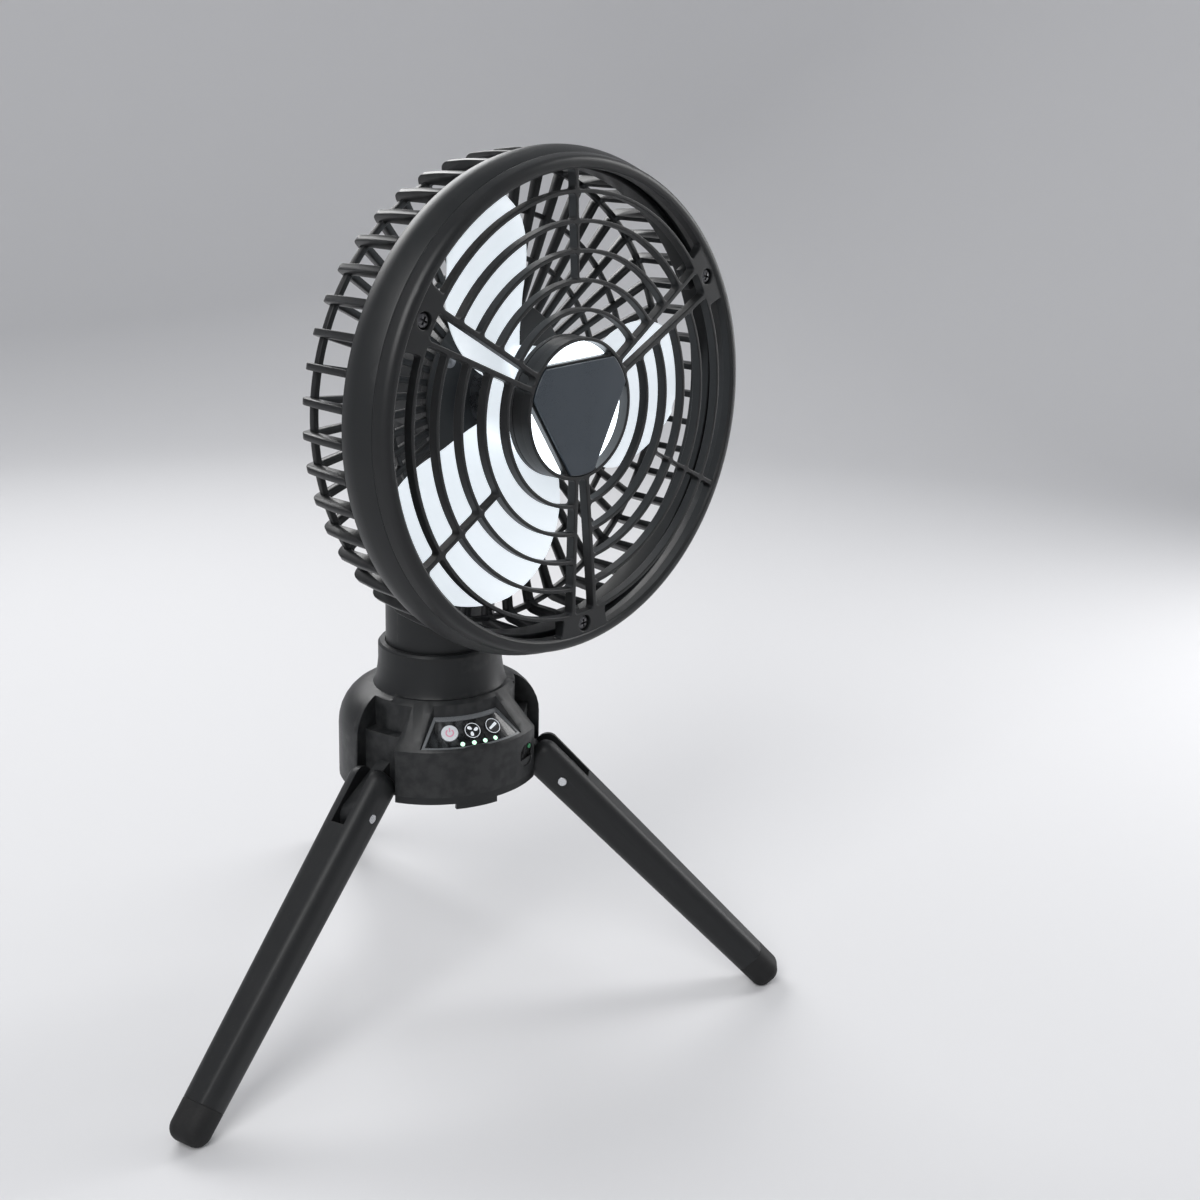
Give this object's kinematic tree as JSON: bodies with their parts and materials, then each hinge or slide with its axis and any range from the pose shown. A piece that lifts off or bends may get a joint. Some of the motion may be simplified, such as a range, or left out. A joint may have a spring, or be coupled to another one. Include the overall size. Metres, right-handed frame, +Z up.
{
  "type": "portable camping fan",
  "caption": "Round fan head with a central lamp, on a swivelling neck over a battery base with a push-button panel and folding splayed legs.",
  "frame": {"origin": "centre of the base's flat underside, on the vertical axis that the head swivels about", "axes": "+Z up along the swivel axis; -Y is the side with the control panel; +X to the right when looking at the panel"},
  "size_m": [0.2662, 0.2605, 0.3682],
  "materials": {
    "shell_black": "fine spark texture, matte",
    "grille_black": "fine spark texture, satin",
    "leg_black": "fine spark texture, matte",
    "inner_black": "plain moulded",
    "badge_black": "satin",
    "fascia_black": "gloss",
    "frame_grey": "satin",
    "port_black": "plain moulded",
    "lens_white": "frosted, translucent",
    "blade_white": "satin, slightly translucent",
    "cap_grey": "satin",
    "button_white": "satin, translucent",
    "button_black": "satin",
    "mark_white": "printed mark, back-lit",
    "mark_rose": "printed mark",
    "light_green": "clear, lit",
    "led_yellow": "phosphor under clear resin",
    "board_white": "white solder mask",
    "board_green": "green solder mask",
    "cell_blue": "shrink sleeve",
    "wire_red": "smooth insulation",
    "washer_nylon": "plain moulded",
    "foot_rubber": "matt rubber",
    "screw_steel": "zinc plated",
    "pin_steel": "bright turned",
    "shaft_steel": "ground",
    "motor_steel": "plated",
    "switch_metal": "plated",
    "bush_bronze": "sintered"
  },
  "bodies": {
    "base": {"base_shell": "shell_black", "base_bottom": "shell_black", "base_screws": "screw_steel", "battery_cells": "cell_blue", "charge_board": "board_green", "charge_port": "port_black", "charge_light": "light_green", "control_board": "board_green", "button_switches": "switch_metal", "panel_frame": "frame_grey", "panel_fascia": "fascia_black", "level_lights": "light_green", "leg_pins": "pin_steel", "swivel_washer": "washer_nylon"},
    "head": {"front_grille": "grille_black", "grille_badge": "badge_black", "grille_screws": "screw_steel", "front_band": "shell_black", "rear_grille": "grille_black", "lamp_lens": "lens_white", "lamp_cup": "inner_black", "lamp_board": "board_white", "lamp_leds": "led_yellow", "motor_can": "motor_steel", "motor_bushes": "bush_bronze", "motor_screws": "screw_steel", "motor_leads": "wire_red", "neck_front": "shell_black", "neck_rear": "shell_black", "neck_screws": "screw_steel", "pod_screws": "screw_steel", "swivel_retainer": "inner_black", "retainer_screws": "screw_steel"},
    "rotor": {"impeller": "blade_white", "impeller_cap": "cap_grey", "motor_shaft": "shaft_steel"},
    "left_leg": {"leg_left": "leg_black", "foot_left": "foot_rubber"},
    "right_leg": {"leg_right": "leg_black", "foot_right": "foot_rubber"},
    "rear_leg": {"leg_rear": "leg_black", "foot_rear": "foot_rubber"},
    "power_button": {"button_power": "button_white"},
    "fan_button": {"button_fan": "button_black"},
    "light_button": {"button_light": "button_black"}
  },
  "joints": [
    {"name": "head_swivel", "type": "hinge", "parent": "base", "child": "head", "pos_m": [0, 0, 0.058], "axis": [0, 0, 1], "range_deg": [-155, 115]},
    {"name": "fan_spin", "type": "hinge", "parent": "head", "child": "rotor", "pos_m": [0.01778, -0.04886, 0.169], "axis": [0.342, -0.9397, 0], "continuous": true},
    {"name": "left_leg_fold", "type": "hinge", "parent": "base", "child": "left_leg", "pos_m": [-0.04677, -0.027, -0.003], "axis": [0.5, -0.866, 0], "range_deg": [0, 45]},
    {"name": "right_leg_fold", "type": "hinge", "parent": "base", "child": "right_leg", "pos_m": [0.04677, -0.027, -0.003], "axis": [0.5, 0.866, 0], "range_deg": [0, 45]},
    {"name": "rear_leg_fold", "type": "hinge", "parent": "base", "child": "rear_leg", "pos_m": [0, 0.054, -0.003], "axis": [-1, 0, 0], "range_deg": [0, 45]},
    {"name": "power_press", "type": "slide", "parent": "base", "child": "power_button", "axis": [0.183, 0.683, -0.7071], "range_m": [0, 0.0006], "stiffness_N_per_m": 800, "springref_m": -0.0004},
    {"name": "fan_press", "type": "slide", "parent": "base", "child": "fan_button", "axis": [0, 0.7071, -0.7071], "range_m": [0, 0.0006], "stiffness_N_per_m": 800, "springref_m": -0.0004},
    {"name": "light_press", "type": "slide", "parent": "base", "child": "light_button", "axis": [-0.183, 0.683, -0.7071], "range_m": [0, 0.0006], "stiffness_N_per_m": 800, "springref_m": -0.0004}
  ]
}
